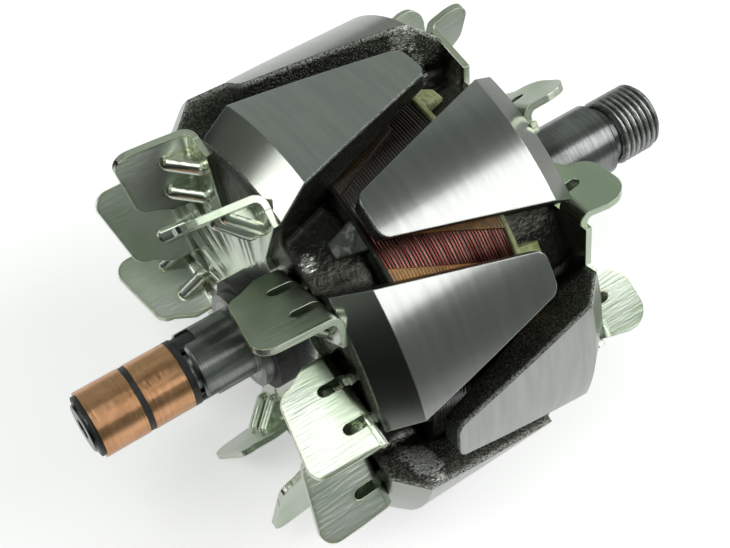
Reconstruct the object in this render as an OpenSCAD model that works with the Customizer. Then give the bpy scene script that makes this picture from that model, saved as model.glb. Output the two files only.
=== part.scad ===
/* [Rotor] */
// Radius of the machined outside of the claws
rotor_r = 48; // [44:0.5:54]
// Distance from the middle of the rotor to the outer face of each pole piece
pole_end_x = 25.8; // [23:0.1:30]
// Turn of the whole rotor about its shaft, from a rear claw straight down
phase = -8.5; // [-15:0.5:15]
// Number of claws on each pole piece
claws = 6; // [4:1:8]

/* [Claws] */
// Thickness of the disc part of each pole piece, along the shaft
pole_disc_t = 12.4; // [9:0.1:15]
// Depth of the valleys between claws below the outside of the coil
valley_drop = 2.9; // [1:0.1:6]
// Where the machined face of a claw stops and its chamfer starts, from the middle
face_x = 19.75; // [17:0.05:22]
// Drop of the chamfer, from the machined face to the outer end of the claw
chamfer_drop = 5.2; // [3:0.1:8]
// Reach of a claw past the middle of the rotor
claw_reach = 13.5; // [11:0.1:16]
// Width of a claw where its machined face starts
claw_root_w = 28; // [22:0.1:30]
// Width of a claw at its tip, before the corners are rounded
claw_tip_w = 8.8; // [6:0.1:12]
// Draft of a claw's sides, which close in toward the shaft
claw_draft = 11.5; // [6:0.5:16]
// Thickness of a claw where it leaves its disc
claw_root_t = 8.5; // [7:0.1:11]
// Thickness of a claw at its tip
claw_tip_t = 4.6; // [3:0.1:7]
// Corner radius at the tip of a claw
claw_corner_r = 2.6; // [1:0.1:3.6]
// Clearance between the coil's insulation and the claws
claw_gap = 0.3; // [0.2:0.05:0.6]

/* [Field coil] */
// Radius of the steel core inside the coil
core_r = 24; // [20:0.1:28]
// Wall thickness of the bobbin
bobbin_wall = 0.9; // [0.6:0.05:1.5]
// Clearance between the bobbin and the steel around it
bobbin_gap = 0.1; // [0.05:0.05:0.3]
// Thickness of the insulating leaves under the claws
leaf_t = 0.7; // [0.4:0.05:1]
// Width of an insulating leaf at its root
leaf_root_w = 24.3; // [18:0.1:26]
// Width of an insulating leaf at its tip
leaf_tip_w = 9.4; // [6:0.1:12]
// Reach of an insulating leaf past the middle of the coil
leaf_reach = 4.5; // [2:0.1:8]
// Length of the bobbin's tongues in the valleys, along the shaft
tongue_l = 5.6; // [3:0.1:8]
// Width of a tongue at its root
tongue_root_w = 7.4; // [5:0.1:12]
// Width of a tongue at its tip
tongue_tip_w = 2.6; // [1.5:0.1:6]

/* [Shaft] */
// Radius of the shaft inside the pole pieces
shaft_r = 9; // [8.8:0.05:11]
// Radius of the front journal, for the front bearing and the pulley
front_journal_r = 8.5; // [7.5:0.05:8.7]
// Where the front journal ends, from the middle of the rotor
front_journal_x = 61.7; // [55:0.1:75]
// Radius at the root of the thread
thread_root_r = 7.1; // [6:0.05:7.4]
// Length of the run-out neck between the front journal and the thread
neck_l = 1.9; // [1:0.1:4]
// Length of the threaded end
thread_l = 11; // [8:0.1:20]
// Radius of the rear journal, for the rear bearing
rear_journal_r = 7.5; // [6.8:0.05:8.3]
// Where the rear journal starts, from the middle of the rotor
rear_journal_x = 33.6; // [31:0.1:40]
// Length of the rear journal
rear_journal_l = 11.8; // [9:0.1:18]
// Radius of the shaft under the slip rings
stub_r = 5.6; // [4:0.05:5.8]
// Chamfer on the ends and shoulders of the shaft
shaft_chamfer = 0.6; // [0.2:0.05:0.9]
// Radius of the centre drilling in both ends of the shaft
centre_r = 2.2; // [1:0.1:3]
// Depth of the centre drilling in both ends of the shaft
centre_depth = 4; // [2:0.1:8]

/* [Slip rings] */
// Outer radius of the slip rings
ring_r = 7.2; // [6.8:0.05:7.4]
// Wall thickness of the slip rings
ring_wall = 0.9; // [0.6:0.05:1]
// Length of the outer slip ring
outer_ring_l = 9.6; // [7:0.1:12]
// Length of the inner slip ring
inner_ring_l = 8.9; // [7:0.1:12]
// Width of the insulating band between the slip rings
band_l = 1.3; // [0.8:0.1:3]
// Width of the insulating flange beside the rear journal
flange_l = 1.5; // [0.8:0.1:3]
// Width of the insulating lip at the outer end
lip_l = 0.7; // [0.4:0.1:1.5]
// Width of the two lead bridges that cross into the rear journal
bridge_w = 5; // [3:0.1:6]
// Length of the lead slots in the rear journal
bridge_l = 3.2; // [2:0.1:5]
// Depth of the lead slots in the rear journal
bridge_depth = 1.7; // [1:0.1:1.8]

/* [Fans] */
// Thickness of the fan sheet
fan_t = 1.4; // [1:0.1:2]
// Inside radius of the bend at the foot of a blade
fan_bend_r = 1.4; // [0.8:0.1:2.5]
// Step from the outside of the claws in to the rim of both fans
fan_inset = 4.4; // [3:0.1:8]
// Step from the rim of the fan in to the middle of a blade's foot
blade_inset = 7.4; // [5:0.1:10]
// Angle of the blades from the radial direction
blade_sweep = 40; // [35:1:55]
// Lean of the blades away from their wings, from standing square on the sheet
blade_lean = 5; // [2:0.5:9]
// Length of a rear blade's foot
rear_blade_l = 20; // [14:0.1:22]
// Height of the rear blades, from the back of the fan sheet
rear_blade_h = 16.6; // [10:0.1:18]
// Corner radius at the top of a rear blade
rear_corner_r = 3.4; // [1:0.1:4.5]
// Slant of a rear blade's inner edge
rear_slant = 2.4; // [0:0.1:4]
// Flare of a rear blade's outer edge
rear_flare = 0.3; // [0:0.1:2]
// Drop of a rear blade's top toward the shaft
rear_drop = 2.1; // [0:0.1:3]
// Length of a front blade's foot
front_blade_l = 16; // [13:0.1:20]
// Height of the front blades, from the back of the fan sheet
front_blade_h = 11.4; // [8:0.1:14]
// Corner radius at the top of a front blade
front_corner_r = 4.4; // [1:0.1:5]
// Slant of a front blade's inner edge
front_slant = 4.6; // [0:0.1:5]
// Flare of a front blade's outer edge
front_flare = 1.7; // [0:0.1:3]
// Drop of a front blade's top toward the shaft
front_drop = 0.2; // [0:0.1:3]
// Radius of the rounded bottom of the notch beside a blade
notch_r = 2.7; // [1.5:0.1:4]
// Step from a blade's middle out to the far edge of its notch, along the foot
notch_mouth = 2.6; // [1:0.1:7]
// Depth of the notch across the blade's foot
notch_depth = 24; // [18:0.1:30]
// Distance of a wing's straight outer edge from the shaft
wing_edge = 37.6; // [36:0.1:41]
// Radius of the pressed ribs between a blade and its wing
rib_r = 1.6; // [1.2:0.1:2]
// Height of a rear rib on the blade
rear_rib_h = 6.4; // [5:0.1:9]
// Reach of a rear rib over the wing
rear_rib_l = 4.6; // [3:0.1:7]
// Height of a front rib on the blade
front_rib_h = 5; // [4:0.1:7]
// Reach of a front rib over the wing
front_rib_l = 3.6; // [3:0.1:5]
// Half width of the pits pressed in behind the ribs
pit_r = 1.1; // [0.8:0.1:1.3]

/* [Collars] */
// Outer radius of the collars beside the fans
collar_r = 10.6; // [9.8:0.1:13]
// Length of the front collar
front_collar_l = 5.5; // [3:0.1:9]
// Radius of the lead guide beside the rear fan
guide_r = 12.4; // [11:0.1:15]
// Length of the lead guide
guide_l = 4; // [2:0.1:5]

/* [Hidden] */

$fn = 96;
// Small clearances and allowances: beside the rear journal, past the insulator, for cuts, and
// where a blade's foot runs into the fan's sheet
bridge_gap = 1;
bridge_step = 0.15;
stub_stand = 0.8;
overrun = 1;
fan_lap = 0.8;
sink = 0.03;
notch_relief = 0.5;
// Turn of the notch's round bottom, where its two sides leave it
notch_turn = 35;
// Turn from a blade to the middle of its wing's straight edge, and to that edge's two ends
edge_turn = 40;
edge_from = 8;
edge_to = 28;
// Stand of a rib's middle line off the sheet, steps of its web's side and long edge inside the rib,
// bed of the pit inside the rib's middle line, and run of the pit past the rib's two ends
rib_stand = 0.3;
web_step = 0.1;
web_sink = 0.35;
pit_bed = 0.2;
pit_run = 1.8;
claw_pitch = 360 / claws;
claw_in_r = rotor_r - claw_root_t;
leaf_out_r = claw_in_r - claw_gap;
coil_r = leaf_out_r - leaf_t;
valley_r = coil_r - valley_drop;
chamfer_r = rotor_r - chamfer_drop;
fan_r = rotor_r - fan_inset;
blade_at_r = fan_r - blade_inset;
// Inner face of the disc part of each pole piece
disc_in_x = pole_end_x - pole_disc_t;
bobbin_half = disc_in_x - bobbin_gap;
coil_half = bobbin_half - bobbin_wall;
// Positions along the shaft
fan_in_x = pole_end_x;
fan_out_x = pole_end_x + fan_t;
thread_x = front_journal_x + neck_l;
front_end_x = thread_x + thread_l;
rear_journal_end = rear_journal_x + rear_journal_l;
inner_ring_x = rear_journal_end + bridge_gap + flange_l;
band_x = inner_ring_x + inner_ring_l;
outer_ring_x = band_x + band_l;
lip_x = outer_ring_x + outer_ring_l;
rear_end_x = lip_x + lip_l + stub_stand;
ring_in_r = ring_r - ring_wall;
front_collar_end = fan_out_x + front_collar_l;
guide_x = fan_out_x;
rear_collar_x = guide_x + guide_l;
// Angles of the blades and leads about the shaft, from a rear claw, unevenly spaced to run quietly
rear_blade_at = [6, 38, 71, 100, 148, 184, 218, 252.5, 282.5, 332];
front_blade_at = [18, 54.5, 89.5, 128.5, 155, 197.5, 228, 268.5, 311, 340];
bridge_at = [162.5, 307.5];
// Shape of a blade: height, length of its foot, corner radius, slant, flare, drop, and its rib
rear_blade = [rear_blade_h, rear_blade_l, rear_corner_r, rear_slant, rear_flare, rear_drop,
    rear_rib_h, rear_rib_l];
front_blade = [front_blade_h, front_blade_l, front_corner_r, front_slant, front_flare, front_drop,
    front_rib_h, front_rib_l];

// Turns the shaft axis of its children, drawn upright, to the row's X
module along_shaft() {
    rotate([0, 90, 0]) children();
}

// A turned piece: a profile of [radius, position along the shaft] points
module turned(points) {
    along_shaft() rotate_extrude() polygon(points);
}

// Flips a front piece to the rear end
module to_rear() {
    mirror([1, 0, 0]) children();
}

// Rounded end of a claw in its own plane: across and along the shaft. Its sides stand clear of the
// claw's own sides, which the draft planes cut
module claw_plan() {
    tip_y = claw_tip_w / 2;
    root_y = claw_root_w / 2;
    slope = (root_y - tip_y) / (face_x + claw_reach);
    side = atan(slope);
    // The corner circle touches the slanting side and the tip
    round_y = tip_y + slope * claw_corner_r - claw_corner_r * sqrt(1 + slope * slope);
    tip_z = -claw_reach;
    round_z = tip_z + claw_corner_r;
    tangent_y = round_y + claw_corner_r * cos(side);
    tangent_z = round_z - claw_corner_r * sin(side);
    end_y = root_y + claw_corner_r;
    end_z = pole_end_x + overrun;
    polygon([[-end_y, end_z], [end_y, end_z], [tangent_y, tangent_z], [round_y, tip_z],
        [-round_y, tip_z], [-tangent_y, tangent_z]]);
    for (side_y = [-round_y, round_y]) translate([side_y, round_z]) circle(r = claw_corner_r);
}

// Room inside one side of a claw: a plane along its slanting edge that closes in toward the shaft
module claw_side() {
    side = atan((claw_root_w - claw_tip_w) / 2 / (face_x + claw_reach));
    length = 2 * (face_x + claw_reach + claw_root_w);
    fall = tan(claw_draft);
    translate([0, claw_root_w / 2, face_x]) rotate([-side, 0, 0]) translate([0, 0, -length / 2])
        linear_extrude(height = length)
            polygon([[0, -rotor_r * fall], [rotor_r + overrun, overrun * fall],
                [rotor_r + overrun, -2 * claw_root_w], [0, -2 * claw_root_w]]);
}

// One claw about the shaft, drawn upright with its root at the top
module claw() {
    intersection() {
        rotate([90, 0, 90]) linear_extrude(height = rotor_r + overrun) claw_plan();
        claw_side();
        mirror([0, 1, 0]) claw_side();
        rotate_extrude() polygon([[core_r, disc_in_x], [claw_in_r, disc_in_x],
            [rotor_r - claw_tip_t, -claw_reach], [rotor_r, -claw_reach], [rotor_r, face_x],
            [chamfer_r, pole_end_x], [core_r, pole_end_x]]);
    }
}

module pole_piece(turn) {
    along_shaft() rotate([0, 0, turn]) {
        for (k = [0 : claws - 1]) rotate([0, 0, k * claw_pitch]) claw();
        difference() {
            translate([0, 0, disc_in_x]) cylinder(r = valley_r, h = pole_disc_t);
            translate([0, 0, disc_in_x - overrun])
                cylinder(r = shaft_r, h = pole_disc_t + 2 * overrun);
        }
    }
}

module rear_pole_piece() {
    color("#6f7573") to_rear() pole_piece(phase);
}

module front_pole_piece() {
    color("#6f7573") pole_piece(phase + claw_pitch / 2);
}

module pole_core() {
    color("#4b4f4e") turned([[shaft_r, -disc_in_x], [core_r, -disc_in_x], [core_r, disc_in_x],
        [shaft_r, disc_in_x]]);
}

// A tapered outline: its width at each of two places along the shaft
module taper_plan(from_w, from_z, to_w, to_z) {
    polygon([[-from_w / 2, from_z], [from_w / 2, from_z], [to_w / 2, to_z], [-to_w / 2, to_z]]);
}

// Tongues of one end of the bobbin, each lying out over a valley between two claws
module tongues(turn) {
    inside = coil_half + bobbin_wall / 2;
    outside = bobbin_half + tongue_l;
    foot_r = valley_r + bobbin_gap;
    along_shaft() rotate([0, 0, turn]) for (k = [0 : claws - 1]) rotate([0, 0, (k + 0.5) * claw_pitch])
        intersection() {
            rotate_extrude() polygon([[foot_r, inside], [leaf_out_r - bobbin_wall / 2, inside],
                [foot_r + bobbin_wall, outside], [foot_r, outside]]);
            rotate([90, 0, 90]) linear_extrude(height = rotor_r)
                taper_plan(tongue_root_w, inside - overrun, tongue_tip_w, outside + overrun);
        }
}

module bobbin() {
    in_r = core_r + bobbin_gap;
    barrel_r = in_r + bobbin_wall;
    color("#7d8f3a") {
        turned([[in_r, -bobbin_half], [leaf_out_r, -bobbin_half], [leaf_out_r, -coil_half],
            [barrel_r, -coil_half], [barrel_r, coil_half], [leaf_out_r, coil_half],
            [leaf_out_r, bobbin_half], [in_r, bobbin_half]]);
        tongues(phase + claw_pitch / 2);
        to_rear() tongues(phase);
    }
}

module field_coil() {
    in_r = core_r + bobbin_gap + bobbin_wall;
    color("#8a4a2c") turned([[in_r, -coil_half], [coil_r, -coil_half], [coil_r, coil_half],
        [in_r, coil_half]]);
}

// Insulating leaf under one claw, from the flange at the claw's root
module leaf(turn) {
    along_shaft() rotate([0, 0, turn]) intersection() {
        rotate_extrude() polygon([[coil_r, -leaf_reach], [leaf_out_r, -leaf_reach],
            [leaf_out_r, coil_half], [coil_r, coil_half]]);
        rotate([90, 0, 90]) linear_extrude(height = rotor_r)
            taper_plan(leaf_root_w, coil_half, leaf_tip_w, -leaf_reach);
    }
}

module rear_leaf(k) {
    color("#a8743a") to_rear() leaf(phase + k * claw_pitch);
}

module front_leaf(k) {
    color("#a8743a") leaf(phase + (k + 0.5) * claw_pitch);
}

// Carries the frame of a blade: X along its foot, Y toward its own wing, origin at the foot's middle
module at_blade(turn) {
    rotate([0, 0, turn]) translate([blade_at_r, 0, 0]) rotate([0, 0, blade_sweep]) children();
}

// Points along an arc, from one angle to another
function arc(centre, r, from, to, steps) =
    [for (i = [0 : steps]) centre + r * [cos(from + (to - from) * i / steps), sin(from + (to - from) * i / steps)]];

// Outline that is stamped out beside a blade, with a round bottom just past the blade's inner end
module notch_plan(length) {
    half = length / 2;
    outside = half + blade_inset;
    edge = fan_bend_r + fan_lap / 2;
    bottom = [-half - notch_relief - notch_r * cos(notch_turn), edge - notch_r * sin(notch_turn)];
    polygon(concat([[outside, edge], [outside, -notch_depth], [notch_mouth, -notch_depth]],
        arc(bottom, notch_r, 180 + notch_turn, notch_turn, 10)));
}

// Sheet that is cut off outside a wing's straight edge, between a blade's foot and the next notch
module edge_plan() {
    function edge_at(turn) = wing_edge / cos(edge_turn - turn) * [cos(turn), sin(turn)];
    outside = fan_r + overrun;
    polygon([edge_at(edge_from), edge_at(edge_to), outside * [cos(edge_to), sin(edge_to)],
        1.05 * outside * [cos((edge_from + edge_to) / 2), sin((edge_from + edge_to) / 2)],
        outside * [cos(edge_from), sin(edge_from)]]);
}

// Rounded outline of a blade: along its foot and up
module blade_plan(shape) {
    height = shape[0];
    half = shape[1] / 2;
    r = shape[2];
    outer = [half + shape[4] - r, height - r];
    inner = [-half + shape[3] + r, height - shape[5] - r];
    polygon(concat([[-half, -overrun], [half, -overrun], [half + shape[4], height / 2]],
        arc(outer, r, 0, 90, 8), arc(inner, r, 90, 180, 8), [[-half, height * 0.4]]));
}

// Middle of the bend, and a point a distance up a face of the blade from the end of the bend
turn_r = fan_bend_r + fan_t;
bend = [fan_bend_r, turn_r];
function face_at(r, up) = bend - r * [cos(blade_lean), sin(blade_lean)]
    + up * [-sin(blade_lean), cos(blade_lean)];

// Section through the bend: the wing's sheet, the bend and the leaning blade
module bend_section(height) {
    last = 180 + blade_lean;
    polygon(concat([[fan_bend_r + fan_lap, fan_t - sink], [fan_bend_r + fan_lap, sink]],
        arc(bend, turn_r, 270, last, 8), [face_at(turn_r, height), face_at(fan_bend_r, height)],
        arc(bend, fan_bend_r, last, 270, 8)));
}

// A pressed rib across the bend: a round-ended rod on a web that fills the corner under it
module rib(along, top, foot) {
    run = foot - top;
    way = run / norm(run);
    half = rib_r - web_step;
    middle = face_at(turn_r - fan_t / 2, 0);
    // The web's long side lies inside the rod, a step toward the corner and in from both ends
    inside = web_sink * [way[1], -way[0]];
    web_top = top + inside + web_sink * way;
    web_foot = foot + inside - web_sink * way;
    translate([along, 0, 0]) {
        translate([0, top[0], top[1]]) rotate([-atan2(run[0], run[1]), 0, 0]) rotate([0, 0, 20])
            rotate_extrude() polygon(concat(arc([0, 0], rib_r, 270, 360, 4), arc([0, norm(run)], rib_r, 0, 90, 4)));
        translate([-half, 0, 0]) rotate([90, 0, 90]) linear_extrude(height = 2 * half)
            polygon([web_top, web_foot, [web_foot[0], fan_t / 2], [fan_bend_r, fan_t / 2], middle,
                [top[0] - rib_stand - fan_t / 2, web_top[1]]]);
    }
}

// Long round-ended pit behind a rib, open through the outside of the bend
module pit(along, top, foot) {
    run = foot - top;
    length = norm(run) + 2 * (pit_run - pit_r);
    translate([along, top[0], top[1]]) rotate([-atan2(run[0], run[1]), 0, 0])
        translate([0, -pit_bed, norm(run) + pit_run - pit_r]) rotate([-90, 0, 0])
            linear_extrude(height = 2 * turn_r) {
                circle(r = pit_r, $fn = 32);
                translate([0, length]) circle(r = pit_r, $fn = 32);
                translate([-pit_r, 0]) square([2 * pit_r, length]);
            }
}

module blade(shape, ribs) {
    height = shape[0];
    half = shape[1] / 2;
    margin = shape[4] + overrun;
    reach = height * tan(blade_lean) + fan_t + overrun;
    stand = fan_bend_r + overrun;
    top = face_at(fan_bend_r, shape[6] - turn_r) + [rib_stand, 0];
    foot = [shape[7], rib_r + sink];
    difference() {
        union() {
            intersection() {
                translate([-half - margin, 0, 0]) rotate([90, 0, 90])
                    linear_extrude(height = 2 * (half + margin)) bend_section(height);
                translate([0, stand, 0]) rotate([90, 0, 0])
                    linear_extrude(height = stand + reach) blade_plan(shape);
            }
            for (along = ribs) rib(along, top, foot);
        }
        for (along = ribs) pit(along, top, foot);
    }
}

// A stamped fan on the front pole piece, with its blades toward the front
module fan(turns, shape, ribs) {
    along_shaft() translate([0, 0, fan_in_x]) {
        difference() {
            cylinder(r = fan_r, h = fan_t);
            translate([0, 0, -overrun]) cylinder(r = shaft_r, h = fan_t + 2 * overrun);
            for (turn = turns) {
                at_blade(phase + turn) translate([0, 0, -overrun])
                    linear_extrude(height = fan_t + 2 * overrun) notch_plan(shape[1]);
                rotate([0, 0, phase + turn]) translate([0, 0, -overrun])
                    linear_extrude(height = fan_t + 2 * overrun) edge_plan();
            }
        }
        for (turn = turns) at_blade(phase + turn) blade(shape, ribs);
    }
}

module rear_fan() {
    color("#9aa38f") to_rear() fan(rear_blade_at, rear_blade, [-rear_blade_l * 0.2, rear_blade_l * 0.22]);
}

module front_fan() {
    color("#9aa38f") fan(front_blade_at, front_blade, [1]);
}

module shaft() {
    c = shaft_chamfer;
    color("#565b5c") difference() {
        turned([[0, -rear_end_x], [stub_r - c, -rear_end_x], [stub_r, c - rear_end_x],
            [stub_r, -rear_journal_end], [rear_journal_r - c, -rear_journal_end],
            [rear_journal_r, c - rear_journal_end], [rear_journal_r, -rear_journal_x],
            [shaft_r, -rear_journal_x], [shaft_r, front_collar_end], [front_journal_r, front_collar_end],
            [front_journal_r, front_journal_x - c], [front_journal_r - c, front_journal_x],
            [thread_root_r - 0.3, front_journal_x], [thread_root_r - 0.3, thread_x],
            [thread_root_r, thread_x], [thread_root_r, front_end_x - c], [thread_root_r - c, front_end_x],
            [0, front_end_x]]);
        for (side = [-rear_end_x, front_end_x]) translate([side, 0, 0]) rotate([0, 90, 0])
            cylinder(r = centre_r, h = 2 * centre_depth, center = true);
        for (turn = bridge_at) along_shaft() rotate([0, 0, phase + turn])
            translate([rear_journal_r - bridge_depth, -bridge_w / 2, -rear_journal_end - overrun])
                cube([bridge_depth + overrun, bridge_w, bridge_l + overrun]);
    }
}

module outer_slip_ring() {
    color("#b07a45") turned([[ring_in_r, -lip_x], [ring_r, -lip_x], [ring_r, -outer_ring_x],
        [ring_in_r, -outer_ring_x]]);
}

module inner_slip_ring() {
    color("#b07a45") turned([[ring_in_r, -band_x], [ring_r, -band_x], [ring_r, -inner_ring_x],
        [ring_in_r, -inner_ring_x]]);
}

module slip_ring_insulator() {
    rim_r = ring_r - 0.15;
    color("#1c1d1f") {
        turned([[stub_r, -lip_x - lip_l], [ring_in_r + 0.3, -lip_x - lip_l], [ring_in_r + 0.3, -lip_x],
            [ring_in_r, -lip_x], [ring_in_r, -outer_ring_x], [rim_r, -outer_ring_x], [rim_r, -band_x],
            [ring_in_r, -band_x], [ring_in_r, -inner_ring_x], [ring_r, -inner_ring_x],
            [ring_r, -inner_ring_x + flange_l], [stub_r, -inner_ring_x + flange_l]]);
        for (turn = bridge_at) along_shaft() rotate([0, 0, phase + turn]) intersection() {
            translate([rear_journal_r - bridge_depth, -bridge_w / 2, -inner_ring_x + flange_l / 2])
                cube([bridge_depth, bridge_w, bridge_gap + flange_l / 2 + bridge_l]);
            translate([0, 0, -inner_ring_x])
                cylinder(r = ring_r - bridge_step, h = flange_l + bridge_gap + bridge_l);
        }
    }
}

module rear_collar() {
    color("#7b807e") turned([[shaft_r, -rear_journal_x], [collar_r, -rear_journal_x],
        [collar_r, -rear_collar_x], [shaft_r, -rear_collar_x]]);
}

module front_collar() {
    color("#7b807e") turned([[shaft_r, fan_out_x], [collar_r, fan_out_x],
        [collar_r, front_collar_end], [shaft_r, front_collar_end]]);
}

module lead_guide() {
    color("#2a2b2c") turned([[shaft_r, -rear_collar_x], [guide_r, -rear_collar_x],
        [guide_r, -guide_x], [shaft_r, -guide_x]]);
}

shaft();
rear_pole_piece();
front_pole_piece();
pole_core();
bobbin();
field_coil();
rear_leaf(0);  // rear_leaf_1
rear_leaf(1);  // rear_leaf_2
rear_leaf(2);  // rear_leaf_3
rear_leaf(3);  // rear_leaf_4
rear_leaf(4);  // rear_leaf_5
rear_leaf(5);  // rear_leaf_6
front_leaf(0);  // front_leaf_1
front_leaf(1);  // front_leaf_2
front_leaf(2);  // front_leaf_3
front_leaf(3);  // front_leaf_4
front_leaf(4);  // front_leaf_5
front_leaf(5);  // front_leaf_6
rear_fan();
front_fan();
outer_slip_ring();
inner_slip_ring();
slip_ring_insulator();
rear_collar();
front_collar();
lead_guide();
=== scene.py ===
"""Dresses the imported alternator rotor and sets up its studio.

The solids of the frame keep their shape. This script gives each of them its finish, builds the
winding and the thread as surfaces of their own, and places the floor, the lamps and the camera.
Sizes are in metres and angles in radians, in the shared frame: +X along the shaft toward the
thread, +Y away from the camera and +Z up.
"""

import logging
import math
from dataclasses import dataclass
from enum import Enum
from typing import Optional, Union

import bpy
import numpy as np
from mathutils import Matrix, Vector


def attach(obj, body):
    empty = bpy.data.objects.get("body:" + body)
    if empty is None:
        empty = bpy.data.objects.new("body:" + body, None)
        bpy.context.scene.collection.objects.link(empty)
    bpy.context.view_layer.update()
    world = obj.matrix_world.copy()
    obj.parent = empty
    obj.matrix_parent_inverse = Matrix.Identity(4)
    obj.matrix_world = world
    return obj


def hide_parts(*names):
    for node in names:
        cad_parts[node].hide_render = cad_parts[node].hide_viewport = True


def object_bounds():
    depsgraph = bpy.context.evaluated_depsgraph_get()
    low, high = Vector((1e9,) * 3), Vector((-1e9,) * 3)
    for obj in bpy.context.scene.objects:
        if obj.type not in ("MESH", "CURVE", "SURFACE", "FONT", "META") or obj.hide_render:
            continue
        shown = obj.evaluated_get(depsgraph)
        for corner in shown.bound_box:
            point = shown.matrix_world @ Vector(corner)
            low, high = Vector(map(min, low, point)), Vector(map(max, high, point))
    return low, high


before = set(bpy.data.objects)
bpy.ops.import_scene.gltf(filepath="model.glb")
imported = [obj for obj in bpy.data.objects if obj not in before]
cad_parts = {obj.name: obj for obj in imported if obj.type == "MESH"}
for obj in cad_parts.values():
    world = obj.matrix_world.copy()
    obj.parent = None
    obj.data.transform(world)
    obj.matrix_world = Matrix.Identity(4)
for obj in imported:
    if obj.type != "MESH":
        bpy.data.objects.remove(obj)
CAD_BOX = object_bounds()

log = logging.getLogger("rotor")

Colour = tuple[float, float, float]
Point = tuple[float, float, float]
Operand = Union[float, "Reading"]

CLAWS_OUTSIDE = float(CAD_BOX[1].z)
SHAFT_END = float(CAD_BOX[1].x)


class Axis(Enum):
    """The axes of the shared frame, by their place in a vector."""

    ALONG = 0
    ACROSS = 1
    UP = 2


# Shader expressions


class Reading:
    """A value that changes over a surface, read from a socket and used like a number."""

    def __init__(self, nodes: "Nodes", socket: bpy.types.NodeSocket) -> None:
        """Keeps the socket and the node tree that it belongs to."""
        self.nodes = nodes
        self.socket = socket

    def _maths(self, operation: str, first: Operand, second: Operand) -> "Reading":
        """Adds one Math node.

        Args:
            operation: the node's operation.
            first: the upper value.
            second: the lower value.

        Returns:
            The node's result.
        """
        node = self.nodes.node("ShaderNodeMath", {"operation": operation}, {0: first, 1: second})
        return Reading(self.nodes, node.outputs[0])

    def __add__(self, other: Operand) -> "Reading":
        """The sum."""
        return self._maths("ADD", self, other)

    __radd__ = __add__

    def __sub__(self, other: Operand) -> "Reading":
        """This less the other."""
        return self._maths("SUBTRACT", self, other)

    def __rsub__(self, other: Operand) -> "Reading":
        """The other less this."""
        return self._maths("SUBTRACT", other, self)

    def __mul__(self, other: Operand) -> "Reading":
        """The product."""
        return self._maths("MULTIPLY", self, other)

    __rmul__ = __mul__

    def __truediv__(self, other: Operand) -> "Reading":
        """This over the other."""
        return self._maths("DIVIDE", self, other)

    def __rtruediv__(self, other: Operand) -> "Reading":
        """The other over this."""
        return self._maths("DIVIDE", other, self)

    def __pow__(self, other: Operand) -> "Reading":
        """This to a power."""
        return self._maths("POWER", self, other)

    def __neg__(self) -> "Reading":
        """The same with its sign turned."""
        return self._maths("MULTIPLY", self, -1.0)

    def __abs__(self) -> "Reading":
        """The size without its sign."""
        return self._maths("ABSOLUTE", self, 0.0)

    def most(self, other: Operand) -> "Reading":
        """The larger of two values."""
        return self._maths("MAXIMUM", self, other)

    def least(self, other: Operand) -> "Reading":
        """The smaller of two values."""
        return self._maths("MINIMUM", self, other)

    def angle_with(self, other: Operand) -> "Reading":
        """The angle of a point with this as its rise and the other as its run, in radians."""
        return self._maths("ARCTAN2", self, other)

    def wave(self) -> "Reading":
        """The sine, for an angle in radians."""
        return self._maths("SINE", self, 0.0)

    def ease(self, low: float, high: float) -> "Reading":
        """A smooth step.

        Args:
            low: where the step starts, at 0.
            high: where it ends, at 1; it may lie below low, and the step then falls.

        Returns:
            A value from 0 to 1.
        """
        settings = {"interpolation_type": "SMOOTHSTEP", "clamp": True}
        if high >= low:
            ends = {1: low, 2: high, 3: 0.0, 4: 1.0}
        else:
            ends = {1: high, 2: low, 3: 1.0, 4: 0.0}
        node = self.nodes.node("ShaderNodeMapRange", settings, {0: self, **ends})
        return Reading(self.nodes, node.outputs[0])


class Nodes:
    """One node tree, of a material or of the world, to which nodes are added."""

    def __init__(self, tree: bpy.types.NodeTree) -> None:
        """Keeps the tree."""
        self.tree = tree

    def node(self, kind: str, settings: Optional[dict] = None,
             inputs: Optional[dict] = None) -> bpy.types.Node:
        """Adds one node, its settings first and then its sockets.

        Args:
            kind: the node's type.
            settings: the node's own settings, by name.
            inputs: values, readings or sockets, by the input's name or number.

        Returns:
            The node.
        """
        made = self.tree.nodes.new(kind)
        for key, value in (settings or {}).items():
            setattr(made, key, value)
        for key, value in (inputs or {}).items():
            self.put(made.inputs[key], value)
        return made

    def put(self, socket: bpy.types.NodeSocket, value: object) -> None:
        """Links a reading or a socket to an input, or sets the input's own value.

        Args:
            socket: the input.
            value: a reading, a socket, a number or a row of numbers.
        """
        if isinstance(value, Reading):
            value = value.socket
        if isinstance(value, bpy.types.NodeSocket):
            self.tree.links.new(value, socket)
        elif socket.type == "RGBA" and len(value) == 3:
            socket.default_value = (*value, 1.0)
        else:
            socket.default_value = value

    def cosine(self, first: object, second: object) -> Reading:
        """The cosine between two directions of length one: the sum of their products by axis."""
        node = self.node("ShaderNodeVectorMath", {"operation": "DOT_PRODUCT"}, {0: first, 1: second})
        return Reading(self, node.outputs["Value"])

    def parts(self, vector: bpy.types.NodeSocket) -> tuple[Reading, Reading, Reading]:
        """A vector's three parts, along, across and up."""
        node = self.node("ShaderNodeSeparateXYZ", inputs={0: vector})
        return tuple(Reading(self, node.outputs[axis.value]) for axis in Axis)


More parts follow.
